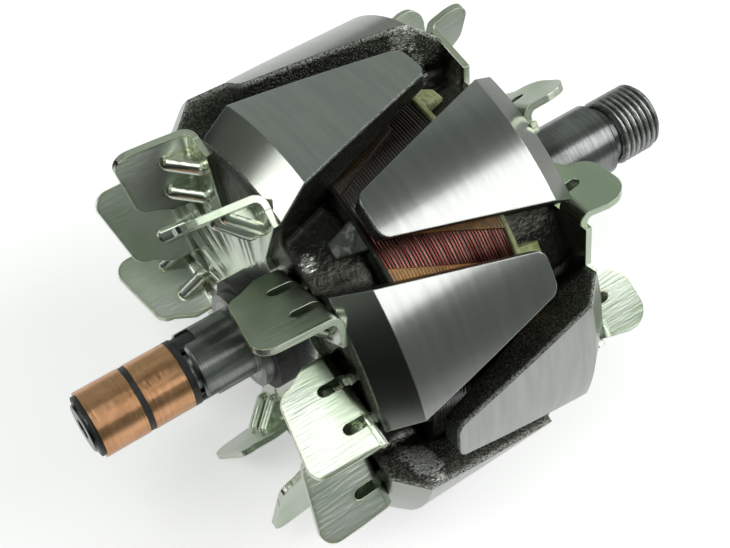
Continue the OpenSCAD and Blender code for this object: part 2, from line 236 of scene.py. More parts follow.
class Recipe(Nodes):
    """One material's node tree, built from readings of the piece's own coordinates."""

    def __init__(self, name: str) -> None:
        """Starts a material with a Principled shader and an output."""
        self.material = bpy.data.materials.new(name)
        self.material.use_nodes = True
        super().__init__(self.material.node_tree)
        self.tree.nodes.clear()
        self.shader = self.node("ShaderNodeBsdfPrincipled")
        self.node("ShaderNodeOutputMaterial", inputs={0: self.shader.outputs[0]})
        self._place: Optional[bpy.types.NodeSocket] = None

    def place(self) -> bpy.types.NodeSocket:
        """The point on the piece, in metres in the shared frame."""
        if self._place is None:
            self._place = self.node("ShaderNodeTexCoord").outputs["Object"]
        return self._place

    def axes(self) -> tuple[Reading, Reading, Reading]:
        """The point's three coordinates."""
        return self.parts(self.place())

    def radius(self) -> Reading:
        """Distance from the shaft's axis: the root of the sum of two squares."""
        _, across, up = self.axes()
        return (across * across + up * up) ** 0.5

    def height_angle(self) -> Reading:
        """The point's angle about the shaft, in radians, from the near side upward."""
        _, across, up = self.axes()
        return up.angle_with(-across)

    def normal(self) -> tuple[Reading, Reading, Reading]:
        """The face's own direction, in the shared frame."""
        return self.parts(self.node("ShaderNodeTexCoord").outputs["Normal"])

    def spread(self, scale: Point) -> bpy.types.NodeSocket:
        """The point with each axis stretched: a large value makes a pattern fine along that axis."""
        return self.node("ShaderNodeMapping", inputs={"Vector": self.place(), "Scale": scale}).outputs[0]

    def noise(self, scale: float, detail: float = 2.0, rough: float = 0.5, at: object = None,
              bend: float = 0.0) -> Reading:
        """A smooth random pattern.

        Args:
            scale: turns of the pattern per metre.
            detail: how many finer layers are added.
            rough: how strong the finer layers are.
            at: the point that it is read at, if not the piece's own.
            bend: how far the pattern is bent by itself.

        Returns:
            A value about 0.5.
        """
        inputs = {"Vector": at or self.place(), "Scale": scale, "Detail": detail, "Roughness": rough,
                  "Distortion": bend}
        return Reading(self, self.node("ShaderNodeTexNoise", inputs=inputs).outputs["Fac"])

    def streaks(self, scale: Point, detail: float = 2.0, rough: float = 0.5) -> Reading:
        """A random pattern stretched into lines: its turns per metre along each axis are given."""
        return self.noise(1.0, detail, rough, at=self.spread(scale))

    def grains(self, scale: float) -> tuple[Reading, Reading]:
        """Cells of one size.

        Args:
            scale: cells per metre.

        Returns:
            The distance from each cell's middle, and a random value for each cell.
        """
        node = self.node("ShaderNodeTexVoronoi", inputs={"Vector": self.place(), "Scale": scale})
        shade = self.node("ShaderNodeSeparateColor", inputs={0: node.outputs["Color"]})
        return Reading(self, node.outputs["Distance"]), Reading(self, shade.outputs[0])

    def blend(self, amount: Operand, low: object, high: object) -> bpy.types.NodeSocket:
        """Mixes two colours.

        Args:
            amount: 0 for the first, 1 for the second.
            low: the first colour, a row of three or a socket.
            high: the second colour.

        Returns:
            The mixed colour.
        """
        settings = {"data_type": "RGBA", "clamp_factor": True}
        return self.node("ShaderNodeMix", settings, {0: amount, 6: low, 7: high}).outputs[2]

    def level(self, amount: Operand, low: Operand, high: Operand) -> Reading:
        """Mixes two values: the first, plus the amount times the step to the second."""
        settings = {"data_type": "FLOAT", "clamp_factor": True}
        return Reading(self, self.node("ShaderNodeMix", settings, {0: amount, 2: low, 3: high}).outputs[0])

    def rounded(self, reach: float, samples: int = 4) -> bpy.types.NodeSocket:
        """The direction that a face has with its edges rounded to the reach, in metres."""
        return self.node("ShaderNodeBevel", {"samples": samples}, {"Radius": reach}).outputs[0]

    def near_edge(self, reach: float, low: float = 0.01, high: float = 0.12) -> Reading:
        """Finds the sharp edges of the solid.

        The amount is a smooth step of one less the cosine between the face's own direction and
        the direction that it has with its edges rounded to the reach.

        Args:
            reach: how far the edges are felt, in metres.
            low: where the step starts.
            high: where it ends.

        Returns:
            A value from 0 on a plain face to 1 at an edge.
        """
        own = self.node("ShaderNodeNewGeometry").outputs["Normal"]
        return (1.0 - self.cosine(self.rounded(reach, 6), own)).ease(low, high)

    def bump(self, height: Operand, depth: float, under: object = None,
             soften: float = 0.0) -> bpy.types.NodeSocket:
        """Turns a height into a normal.

        Args:
            height: the height, from 0 to 1.
            depth: what a height of 1 measures, in metres.
            under: a normal that this one is laid over.
            soften: radius that the edges of the solid are shaded round to, in metres.

        Returns:
            The normal.
        """
        inputs = {"Height": height, "Distance": depth, "Strength": 1.0}
        if soften:
            under = self.rounded(soften)
        if under is not None:
            inputs["Normal"] = under
        return self.node("ShaderNodeBump", inputs=inputs).outputs[0]

    def close(self, fixed: Optional[dict] = None, **changing: object) -> bpy.types.Material:
        """Sets the shader's sockets.

        Args:
            fixed: values that are the same all over, by the socket's name.
            changing: values or links, by the socket's name with underscores for spaces.

        Returns:
            The finished material.
        """
        for key, value in {**(fixed or {}), **changing}.items():
            self.put(self.shader.inputs[key.replace("_", " ")], value)
        return self.material


# Finishes


@dataclass(frozen=True)
class ScrapedSheenPatch:
    """A bright spot on the rough forging: partly metal worn by a tool, partly a painted highlight where a
    curved wall would catch the light.
    """

    middle: Point
    half: Point

    def amount(self, place: tuple[Reading, Reading, Reading]) -> Reading:
        """How much a point is brightened.

        The distance from the middle is counted in half widths along each axis, so its square is
        the sum of three squares, and the amount is a smooth step that falls as it grows.

        Args:
            place: the point's coordinates.

        Returns:
            A value from 0 outside the patch to 1 in its middle.
        """
        away = [(here - middle) / half for here, middle, half in zip(place, self.middle, self.half)]
        return sum(part * part for part in away).ease(1.6, 0.0)


@dataclass(frozen=True)
class ForgedSteel:
    """Forged pole piece: turned bright on its outside and chamfers, left rough everywhere else."""

    outside: float = CLAWS_OUTSIDE
    face_end: float = 0.01975
    chamfer_drop: float = 0.0052
    chamfer_run: float = 0.00605
    skin: float = 0.00012
    rim_inner: float = 0.0013
    rim_outer: float = 0.0004
    rim_ragged: float = 0.0012
    varnish_full: float = 0.0375
    varnish_top: float = 0.0405
    varnish_ragged: float = 0.004
    relief: float = 0.00030
    wall_round: float = 0.0022
    face_round: float = 0.0003
    coarse_grain: float = 1300.0
    fine_grain: float = 2700.0
    spark_grain: float = 2600.0
    turned: Colour = (0.42, 0.435, 0.415)
    turned_dull: Colour = (0.3696, 0.3828, 0.3652)
    chamfer: Colour = (0.38, 0.40, 0.36)
    chamfer_dull: Colour = (0.3116, 0.328, 0.2952)
    rough_low: Colour = (0.040, 0.042, 0.034)
    rough_high: Colour = (0.27, 0.283, 0.235)
    # Spark colour: painted glints, for the light that grains of the rough forging catch.
    spark: Colour = (0.62, 0.63, 0.58)
    # Rim colour: partly metal worn by scraping, partly a painted highlight on the rounded edge.
    scraped_rim_sheen: Colour = (0.55, 0.56, 0.52)
    # Patch colour: partly metal worn by a tool, partly a painted highlight.
    filed_sheen: Colour = (0.86, 0.88, 0.82)
    varnish: Colour = (0.030, 0.029, 0.024)
    patches: tuple[ScrapedSheenPatch, ...] = (
        ScrapedSheenPatch(middle=(-0.0184, -0.0375, -0.0030), half=(0.0040, 0.0058, 0.0040)),
        ScrapedSheenPatch(middle=(-0.0172, -0.0435, -0.0040), half=(0.0036, 0.0040, 0.0040)),
        ScrapedSheenPatch(middle=(0.0186, 0.0172, 0.0420), half=(0.0036, 0.0034, 0.0036)),
        ScrapedSheenPatch(middle=(0.0203, 0.0115, 0.0370), half=(0.0020, 0.0048, 0.0048)),
        ScrapedSheenPatch(middle=(-0.0236, -0.0128, 0.0331), half=(0.0020, 0.0024, 0.0020)),
    )

    def bright(self, r: Recipe, chamfered: Reading) -> bpy.types.NodeSocket:
        """The turned steel's colour: smears round the faces and clouds on the chamfers.

        Args:
            r: the material's recipe.
            chamfered: 0 on the turned faces, 1 on the chamfers.

        Returns:
            The colour.
        """
        smears = r.streaks((500.0, 60.0, 60.0), 2.0, 0.6)
        cloud = r.noise(60.0, 3.0)
        face = r.blend(smears.ease(0.3, 0.75), self.turned_dull, self.turned)
        edge = r.blend(cloud.ease(0.3, 0.7), self.chamfer_dull, self.chamfer)
        return r.blend(chamfered, face, edge)

    def scrape_and_sheen(self, r: Recipe, specks: Reading) -> Reading:
        """How bright the patches are, partly from tool wear and partly as painted highlight.

        The patches' amounts are added up. Strokes along the shaft and the specks make their
        outline ragged, and finer lines run through them.

        Args:
            r: the material's recipe.
            specks: the steel's fine specks.

        Returns:
            A value from 0 away from the patches to 1.
        """
        place = r.axes()
        worn = sum(patch.amount(place) for patch in self.patches)
        strokes = r.streaks((420.0, 1900.0, 1900.0), 3.0, 0.6)
        lines = r.streaks((900.0, 5600.0, 5600.0), 2.0, 0.6)
        ragged = worn + (strokes - 0.5) * 2.4 + (specks - 0.5) * 1.2
        return worn.ease(0.0, 0.15) * ragged.ease(0.45, 1.15) * (lines.ease(0.38, 0.62) * 0.65 + 0.35)

    def make(self) -> bpy.types.Material:
        """Builds the material.

        The turned skin is found by shape: a point belongs to it where its radius, plus what the
        chamfer takes off at its place along the shaft, reaches the outside within the skin. The
        rough walls have a lighter rim beside it, partly metal worn by scraping and partly a painted
        highlight on the edge, and varnish lies over them near the shaft. Painted glints speckle the
        rough walls, and a few bright patches are partly tool wear and partly painted highlight.

        Returns:
            The material.
        """
        r = Recipe("forged_steel")
        along, _, _ = r.axes()
        past = (abs(along) - self.face_end).most(0.0)
        reach = r.radius() + past * (self.chamfer_drop / self.chamfer_run)
        machined = reach.ease(self.outside - self.skin, self.outside - self.skin * 0.6)
        chamfered = past.ease(0.0, 0.00008)

        coarse = r.noise(self.coarse_grain, 4.0, 0.65)
        specks = r.noise(self.fine_grain, 3.0, 0.6)
        dust = r.noise(140.0, 3.0)
        cell, spark = r.grains(self.spark_grain)
        rim = reach + (coarse - 0.5) * self.rim_ragged
        rim = rim.ease(self.outside - self.rim_inner, self.outside - self.rim_outer)
        # Painted glints: bright specks in the colour for light caught by the grains, more of them beside
        # the rim.
        glint = (1.0 - spark.ease(0.10, 0.24)) * cell.ease(0.45, 0.1) * (0.35 + rim * 0.65)
        soaked = r.radius() + (dust - 0.5) * self.varnish_ragged
        soaked = soaked.ease(self.varnish_top, self.varnish_full)
        scrape_and_sheen = self.scrape_and_sheen(r, specks)

        shade = specks.ease(0.42, 0.68) * (0.40 + dust.ease(0.35, 0.65) * 0.40)
        rough = r.blend(shade, self.rough_low, self.rough_high)
        # Painted highlight along the rim, partly metal worn by scraping: a lighter strip beside the turned
        # skin.
        rough = r.blend(rim * specks.ease(0.35, 0.60) * 0.8, rough, self.scraped_rim_sheen)
        # Painted highlight: the glints laid into the colour.
        rough = r.blend(glint * 0.7, rough, self.spark)
        rough = r.blend(soaked * 0.8, rough, self.varnish)
        # Painted highlight, partly tool wear: the bright patches laid into the colour.
        rough = r.blend(scrape_and_sheen * 0.9, rough, self.filed_sheen)
        colour = r.blend(machined, rough, self.bright(r, chamfered))

        marks = r.streaks((5200.0, 18.0, 18.0), 3.0, 0.7)
        smooth = r.level(chamfered, marks * 0.05 + 0.17, marks * 0.06 + 0.19)
        roughness = r.level(machined, 0.42 - glint * 0.16 - soaked * 0.22 - scrape_and_sheen * 0.08, smooth)
        pitted = coarse * 0.7 + cell.ease(0.0, 0.5) * 0.3
        pooled = r.noise(640.0, 2.0, 0.5) * 0.6 + coarse * 0.25
        height = r.level(machined, r.level(soaked, pitted, pooled), marks * 0.003 + 0.5)
        rounded = r.blend(machined, r.rounded(self.wall_round), r.rounded(self.face_round))
        normal = r.bump(height, self.relief, under=rounded)
        return r.close({"Metallic": 1.0}, Base_Color=colour, Roughness=roughness, Normal=normal)


@dataclass(frozen=True)
class ShaftSteel:
    """Turned and ground shaft, with its seats and shoulders."""

    seat: Colour = (0.29, 0.30, 0.295)
    dark: Colour = (0.12, 0.125, 0.122)
    relief: float = 0.00005
    edge_round: float = 0.0002

    def make(self) -> bpy.types.Material:
        """Builds the material: fine rings round the shaft, over darker and oilier stains."""
        r = Recipe("shaft_steel")
        rings = r.streaks((2600.0, 12.0, 12.0), 4.0, 0.75)
        stain = r.noise(120.0, 2.0, 0.5)
        colour = r.blend(stain.ease(0.3, 0.6) * 0.6 + rings.ease(0.40, 0.65) * 0.4, self.dark, self.seat)
        roughness = rings * 0.12 + stain * 0.06 + 0.13
        normal = r.bump(rings * 0.6 + stain * 0.4, self.relief, soften=self.edge_round)
        return r.close({"Metallic": 1.0}, Base_Color=colour, Roughness=roughness, Normal=normal)


@dataclass(frozen=True)
class ThreadSteel:
    """Cut thread, lighter toward the crests and darker toward the roots."""

    root: float
    crest: float
    dark: Colour = (0.05, 0.05, 0.05)
    light: Colour = (0.52, 0.53, 0.52)
    relief: float = 0.00003

    def make(self) -> bpy.types.Material:
        """Builds the material: the colour follows the radius, from the roots to the crests."""
        r = Recipe("thread_steel")
        rise = r.radius().ease(self.root, self.crest)
        stain = r.noise(700.0, 3.0)
        colour = r.blend(rise * 0.75 + stain.ease(0.4, 0.7) * 0.25, self.dark, self.light)
        return r.close({"Metallic": 1.0}, Base_Color=colour, Roughness=0.36 - rise * 0.14 + stain * 0.08,
                       Normal=r.bump(stain, self.relief))


@dataclass(frozen=True)
class BentBlade:
    """A fan blade that was bent further than the others, known by a box about it."""

    end: float
    across: float
    up: float
    reach: float
    slope: float
    half_width: float = 0.011
    inner_face: float = 0.0275

    def height(self, place: tuple[Reading, Reading, Reading]) -> Reading:
        """Finds the height that shades the blade as bent.

        The height grows evenly across the shaft, by the slope, and is cut off outside the box.

        Args:
            place: the point's coordinates.

        Returns:
            The height in metres, 0 away from the blade.
        """
        along, across, up = place
        off = across - self.across
        near = (abs(off) - self.half_width).ease(0.002, -0.002)
        near = near * (abs(up - self.up) - self.reach).ease(0.002, -0.002)
        return off * self.slope * near * (along * self.end - self.inner_face).ease(-0.001, 0.001)


@dataclass(frozen=True)
class ZincSheet:
    """Pressed sheet with a bright zinc plating that has a faint green and yellow cast."""

    silver: Colour = (0.65, 0.70, 0.63)
    green: Colour = (0.47, 0.56, 0.42)
    pale: Colour = (0.72, 0.74, 0.68)
    straw: Colour = (0.55, 0.60, 0.30)
    # Edge colour: partly the bare sheared edge, partly a painted highlight along the rounded edge.
    cut: Colour = (0.74, 0.77, 0.70)
    bend_reach: float = 0.0022
    edge_reach: float = 0.0005
    edge_round: float = 0.0003
    relief: float = 0.0016
    folds_by_angle: float = 4.0
    folds_by_radius: float = 25.0
    folds_along: float = 90.0
    folds_from: float = 0.013
    folds_to: float = 0.025
    bent: tuple[BentBlade, ...] = (
        BentBlade(end=-1.0, across=-0.033, up=0.0185, reach=0.0085, slope=0.17),
        BentBlade(end=1.0, across=-0.040, up=0.0020, reach=0.0120, slope=0.21),
    )

    def folds(self, r: Recipe) -> Reading:
        """The folds that the press drew into the disc.

        They are a random pattern read at four times the angle about the shaft and twenty-five
        times the radius, so that they run outward, and they fade in away from the shaft.

        Args:
            r: the material's recipe.

        Returns:
            The folds' height, about 0.
        """
        along, across, up = r.axes()
        parts = {0: up.angle_with(across) * self.folds_by_angle, 1: r.radius() * self.folds_by_radius,
                 2: along * self.folds_along}
        polar = r.node("ShaderNodeCombineXYZ", inputs=parts).outputs[0]
        fade = r.radius().ease(self.folds_from, self.folds_to)
        return (r.noise(1.0, 1.0, 0.4, at=polar, bend=0.7) - 0.5) * fade

    def make(self) -> bpy.types.Material:
        """Builds the material: blades that are nearly plain, on a disc that is drawn into folds."""
        r = Recipe("zinc_sheet")
        facing, _, _ = r.normal()
        disc = abs(facing).ease(0.45, 0.85)
        cloud = r.noise(55.0, 2.0, 0.5)
        drawn = r.near_edge(self.bend_reach, 0.02, 0.30)
        edge = r.near_edge(self.edge_reach)
        tint = r.blend(disc * 0.7, r.blend(cloud.ease(0.36, 0.66), self.silver, self.green), self.pale)
        tint = r.blend(drawn * cloud.ease(0.58, 0.40) * 0.75, tint, self.straw)
        # Edges lightened: partly sheared metal, partly painted highlight.
        tint = r.blend(edge * 0.6, tint, self.cut)
        roughness = r.level(disc.most(drawn * 0.6), 0.29, 0.14) + cloud * 0.06 + edge * 0.08

        wave = r.noise(75.0, 1.0, 0.3)
        drag = r.streaks((70.0, 1500.0, 1500.0), 2.0, 0.6)
        height = r.level(disc, wave * 0.30 + drag * 0.035, self.folds(r))
        normal = r.bump(height, self.relief, soften=self.edge_round)
        bent = sum(blade.height(r.axes()) for blade in self.bent)
        normal = r.bump(bent, 1.0, under=normal)
        return r.close({"Metallic": 1.0}, Base_Color=tint, Roughness=roughness, Normal=normal)


@dataclass(frozen=True)
class RingCopper:
    """Copper slip ring, turned, with the tracks that the brushes left."""

    bright: Colour = (0.80, 0.45, 0.25)
    dull: Colour = (0.50, 0.26, 0.125)
    relief: float = 0.00004
    edge_round: float = 0.00015

    def make(self) -> bpy.types.Material:
        """Builds the material: fine rings about the shaft over slow brown clouds, with lengthwise bands
        painted in as reflection.
        """
        r = Recipe("slip_ring_copper")
        rings = r.streaks((3400.0, 20.0, 20.0), 4.0, 0.8)
        cloud = r.noise(220.0, 3.0, 0.6)
        # Painted reflection: lengthwise streaks lighten and darken the colour in bands along the shaft.
        streak = r.streaks((60.0, 500.0, 500.0), 3.0, 0.6)
        mixed = rings.ease(0.35, 0.65) * 0.45 + cloud.ease(0.35, 0.65) * 0.35 + streak.ease(0.4, 0.6) * 0.2
        colour = r.blend(mixed, self.dull, self.bright)
        roughness = rings * 0.10 + cloud * 0.10 + 0.15
        normal = r.bump(rings, self.relief, soften=self.edge_round)
        return r.close({"Metallic": 1.0}, Base_Color=colour, Roughness=roughness, Normal=normal)


@dataclass(frozen=True)
class MouldedResin:
    """Moulded plastic, with a slightly uneven skin."""

    name: str
    base: Colour
    light: Colour
    gloss: float
    grain: float = 900.0
    relief: float = 0.00006
    edge_round: float = 0.0002

    def make(self) -> bpy.types.Material:
        """Builds the material: two close shades in slow clouds, with a fine moulded grain."""
        r = Recipe(self.name)
        cloud = r.noise(self.grain * 0.3, 3.0, 0.6)
        grain = r.noise(self.grain, 3.0, 0.6)
        colour = r.blend(cloud.ease(0.35, 0.7), self.base, self.light)
        roughness = cloud * 0.2 + grain * 0.1 + self.gloss
        return r.close({"Metallic": 0.0}, Base_Color=colour, Roughness=roughness,
                       Normal=r.bump(grain, self.relief, soften=self.edge_round))


@dataclass(frozen=True)
class SoakedResin:
    """The bobbin's resin: pale green where it is clean, dark and wet where the varnish ran."""

    flange_out: float
    clean_low: Colour = (0.24, 0.28, 0.11)
    clean_high: Colour = (0.50, 0.53, 0.30)
    wet_low: Colour = (0.008, 0.013, 0.007)
    wet_high: Colour = (0.026, 0.038, 0.020)
    pooled: Colour = (0.008, 0.007, 0.005)
    wet_from: float = 1.75
    wet_to: float = 1.55
    relief: float = 0.0003
    edge_round: float = 0.0006

    def make(self) -> bpy.types.Material:
        """Builds the material.

        The varnish ran over the rear end up to an angle about the shaft, and covers the rim of
        the rear flange there. It only stains the rest.

        Returns:
            The material.
        """
        r = Recipe("bobbin_resin")
        along, _, _ = r.axes()
        cloud = r.noise(260.0, 3.0, 0.6)
        grain = r.noise(900.0, 2.0, 0.5)
        rear = along.ease(0.0005, -0.0005)
        wet = rear * r.height_angle().ease(self.wet_from, self.wet_to)
        shade = cloud.ease(0.35, 0.7)
        clean = r.blend(shade, self.clean_low, self.clean_high)
        soaked = r.blend(shade, self.wet_low, self.wet_high)
        rim = abs(along) + (cloud - 0.5) * 0.0010
        rim = wet * rim.ease(self.flange_out + 0.0003, self.flange_out - 0.0003)
        spill = (cloud + grain * 0.3).ease(0.72, 0.80) * 0.48
        colour = r.blend(rim.most(spill), r.blend(wet, clean, soaked), self.pooled)
        relief = r.bump(cloud * 0.85 + grain * 0.15, self.relief, soften=self.edge_round)
        return r.close({"Metallic": 0.0, "Specular IOR Level": 0.2, "Coat Roughness": 0.08},
                       Base_Color=colour, Roughness=cloud * 0.2 + 0.25,
                       Coat_Weight=wet * cloud.ease(0.58, 0.66) * 0.4, Normal=relief)


@dataclass(frozen=True)
class Varnish:
    """The varnish that pooled all round the coil, but for a clean band high on the near side.

    The band lies between the two steps, which are angles about the shaft from the near side.
    """

    colour: Colour
    top: tuple[float, float] = (1.35, 1.60)
    low: tuple[float, float] = (0.85, 0.65)

    def pooled(self, angle: Reading) -> Reading:
        """How much of it lies at an angle about the shaft, from 0 to 1."""
        return angle.ease(*self.top).most(angle.ease(*self.low))


@dataclass(frozen=True)
class VarnishedLeaf:
    """Insulating leaf, soaked with amber varnish, with the wires pressed through it."""

    pitch: float
    light: Colour = (0.50, 0.245, 0.050)
    dark: Colour = (0.17, 0.070, 0.014)
    varnish: Varnish = Varnish((0.009, 0.007, 0.005))
    relief: float = 0.00016

    def make(self) -> bpy.types.Material:
        """Builds the material: ridges at the wires' pitch along the shaft, under a clear coat."""
        r = Recipe("leaf_insulation")
        along, _, _ = r.axes()
        ridge = (along * (2.0 * math.pi / self.pitch)).wave() * 0.5 + 0.5
        stain = r.noise(300.0, 4.0, 0.65)
        shade = ridge * 0.35 + stain.ease(0.3, 0.7) * 0.65
        wet = self.varnish.pooled(r.height_angle() + r.noise(150.0, 3.0, 0.6) * 0.5)
        colour = r.blend(wet * 0.95, r.blend(shade, self.dark, self.light), self.varnish.colour)
        roughness = stain * 0.2 + 0.32 - wet * 0.18
        return r.close({"Metallic": 0.0, "Coat Roughness": 0.12}, Base_Color=colour, Roughness=roughness,
                       Coat_Weight=wet * 0.8 + 0.1, Normal=r.bump(ridge * 0.6 + stain * 0.8, self.relief))


@dataclass(frozen=True)
class WindingCopper:
    """Enamelled copper wire with varnish: bright where it is clean, near black where it pooled, and
    darkened between the wires as painted shade.
    """

    crest: float
    clean: Colour = (0.13, 0.025, 0.017)
    worn: Colour = (0.27, 0.105, 0.080)
    varnish: Varnish = Varnish((0.009, 0.006, 0.004))
    groove_shade_reach: float = 0.00020
    relief: float = 0.00004

    def make(self) -> bpy.types.Material:
        """Builds the material: the varnish lies where it pooled, and its colour is painted between the
        wires as shade.
        """
        r = Recipe("winding_copper")
        # Painted shade: the colour darkens toward the grooves between the wires.
        depth = r.radius().ease(self.crest - self.groove_shade_reach, self.crest - self.groove_shade_reach * 0.1)
        pooled = self.varnish.pooled(r.height_angle() + r.noise(150.0, 3.0, 0.6) * 0.5)
        streak = r.streaks((1100.0, 90.0, 90.0), 3.0, 0.6)
        copper = r.blend(streak.ease(0.35, 0.7), self.clean, self.worn)
        # The varnish colour where it pooled, and as painted shade in the grooves between the wires.
        dark = pooled.most(1.0 - depth).least(0.97)
        return r.close({"Coat Roughness": 0.1}, Base_Color=r.blend(dark, copper, self.varnish.colour),
                       Roughness=streak * 0.12 + 0.14, Metallic=1.0 - dark, Coat_Weight=dark * 0.8,
                       Normal=r.bump(streak, self.relief))


@dataclass(frozen=True)
class CollarSteel:
    """Turned collar, satin."""

    dark: Colour = (0.12, 0.125, 0.12)
    light: Colour = (0.34, 0.35, 0.34)
    relief: float = 0.00005
    edge_round: float = 0.0003

    def make(self) -> bpy.types.Material:
        """Builds the material: rings round the shaft and a few darker stains."""
        r = Recipe("collar_steel")
        rings = r.streaks((2400.0, 15.0, 15.0), 4.0, 0.75)
        stain = r.noise(260.0, 4.0, 0.6)
        colour = r.blend(stain.ease(0.35, 0.7) * 0.6 + rings * 0.4, self.dark, self.light)
        return r.close({"Metallic": 1.0}, Base_Color=colour, Roughness=rings * 0.15 + 0.24,
                       Normal=r.bump(rings, self.relief, soften=self.edge_round))


# Surfaces


def ring_faces(rows: int, columns: int) -> np.ndarray:
    """Numbers the quads of a closed ring of points, both of whose parameters come round again.

    Each quad takes a point, the next along its row, the one after that in the next row, and the
    one below the first.

    Args:
        rows: points round the ring's section.
        columns: points round the shaft.

    Returns:
        One row of four point numbers for each quad.
    """
    i = np.arange(rows)[:, None]
    j = np.arange(columns)[None, :]
    below, beside = (i + 1) % rows, (j + 1) % columns
    corners = (i * columns + j, i * columns + beside, below * columns + beside, below * columns + j)
    return np.stack(np.broadcast_arrays(*corners), axis=-1).reshape(-1, 4)


def skin(name: str, points: np.ndarray, finish: bpy.types.Material, slot: str) -> bpy.types.Object:
    """Makes a closed ring of quads from a whole array of points.

    Args:
        name: the piece's name.
        points: the points, in metres, by row round the section and column round the shaft.
        finish: its material.
        slot: the record's material slot; not used.

    Returns:
        The piece, riding on the rotor.
    """
    quads = ring_faces(*points.shape[:2]).astype(np.int32)
    mesh = bpy.data.meshes.new(name)
    mesh.vertices.add(points.size // 3)
    mesh.vertices.foreach_set("co", points.astype(np.float32).ravel())
    mesh.loops.add(quads.size)
    mesh.loops.foreach_set("vertex_index", quads.ravel())
    mesh.polygons.add(len(quads))
    mesh.polygons.foreach_set("loop_start", np.arange(0, quads.size, 4, dtype=np.int32))
    mesh.polygons.foreach_set("loop_total", np.full(len(quads), 4, dtype=np.int32))
    mesh.polygons.foreach_set("use_smooth", np.full(len(quads), True))
    mesh.update(calc_edges=True)
    mesh.validate()
    mesh.materials.append(finish)
    piece = bpy.data.objects.new(name, mesh)
    bpy.context.scene.collection.objects.link(piece)
    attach(piece, "root")
    log.info("%s: %d faces", name, len(quads))
    return piece


def ring_of(radius: np.ndarray, along: np.ndarray, turn: np.ndarray) -> np.ndarray:
    """Puts points about the shaft.

    Args:
        radius: distance of each point from the axis.
        along: place of each point along the shaft.
        turn: angle of each point about the shaft, by the right-hand rule from +Y.

    Returns:
        The points: along the shaft, radius times the cosine, radius times the sine.
    """
    return np.stack(np.broadcast_arrays(along, radius * np.cos(turn), radius * np.sin(turn)), axis=-1)


def dress(node: str, finish: bpy.types.Material) -> None:
    """Gives a solid of the frame its finish, in its own material slot.

    Args:
        node: the solid's name.
        finish: the material.
    """
    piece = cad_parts[node]
    if not piece.material_slots:
        piece.data.materials.append(finish)
    piece.material_slots[0].material = finish
    log.info("%s: dressed", node)


# The rotor's sub-assemblies


@dataclass
class PolePieces:
    """The two forged claw pole pieces and the core between them."""

    nodes: tuple[str, ...] = ("rear_pole_piece", "front_pole_piece", "pole_core")

    def build(self) -> None:
        """Dresses the forgings."""
        finish = ForgedSteel().make()
        for node in self.nodes:
            dress(node, finish)


@dataclass
class FieldCoil:
    """The winding in its bobbin, under the claws, with the leaves that keep it off them."""

    outer: float = 0.0385
    inner: float = 0.0250
    half: float = 0.0124
    flange: float = 0.0009
    wires: int = 38
    steps: int = 8
    columns: int = 216
    crown: float = 0.00030
    slow_sway: float = 0.096
    quick_sway: float = 0.06
    uneven: float = 0.00004
    steepest: float = 0.98
    leaves: int = 6

    @property
    def pitch(self) -> float:
        """The distance from one wire to the next."""
        return 2 * self.half / self.wires

    def winding(self, finish: bpy.types.Material) -> bpy.types.Object:
        """Builds the winding as one closed ring whose outside is the top layer of wires.

        The outside's radius is the coil's outer radius less the crown times one minus the root of
        one minus the square of the distance from the wire's middle, as a half-round wire has it.
        Each wire wanders along the shaft by the sum of two slow sines about the shaft, which fade
        at both ends of the coil, and lies a little lower than the outer radius.

        Args:
            finish: its material.

        Returns:
            The piece.
        """
        place = (np.arange(self.wires * self.steps) + 0.5) / self.steps
        wire = np.floor(place).astype(int)
        off = np.minimum(np.abs(2 * (place - wire) - 1), self.steepest)
        turn = np.linspace(0, 2 * math.pi, self.columns, endpoint=False)

        generator = np.random.default_rng(7)
        lean = generator.uniform(0, 2 * math.pi, (2, self.wires))[:, wire, None]
        wander = self.slow_sway * np.sin(turn * 2 + lean[0]) + self.quick_sway * np.sin(turn * 5 + lean[1])
        fade = np.clip(np.minimum(place, self.wires - place), 0, 1)[:, None]
        along = -self.half + self.pitch * (place[:, None] + wander * fade)
        dip = generator.uniform(0, self.uneven, self.wires)[wire]
        radius = self.outer - self.crown * (1 - np.sqrt(1 - off ** 2)) - dip

        root = self.outer - self.crown
        corners = [(root, self.half), (self.inner, self.half),
                   (self.inner, -self.half), (root, -self.half)]
        walls = [ring_of(np.full(self.columns, r), np.full(self.columns, x), turn) for r, x in corners]
        points = np.concatenate([ring_of(radius[:, None], along, turn), np.stack(walls)])
        piece = skin("winding", points, finish, "winding_copper")
        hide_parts("field_coil")
        return piece

    def build(self) -> None:
        """Builds the winding, and dresses the bobbin and the leaves."""
        self.winding(WindingCopper(self.outer).make())
        dress("bobbin", SoakedResin(self.half + self.flange).make())
        leaf = VarnishedLeaf(self.pitch).make()
        for end in ("rear", "front"):
            for k in range(1, self.leaves + 1):
                dress(f"{end}_leaf_{k}", leaf)


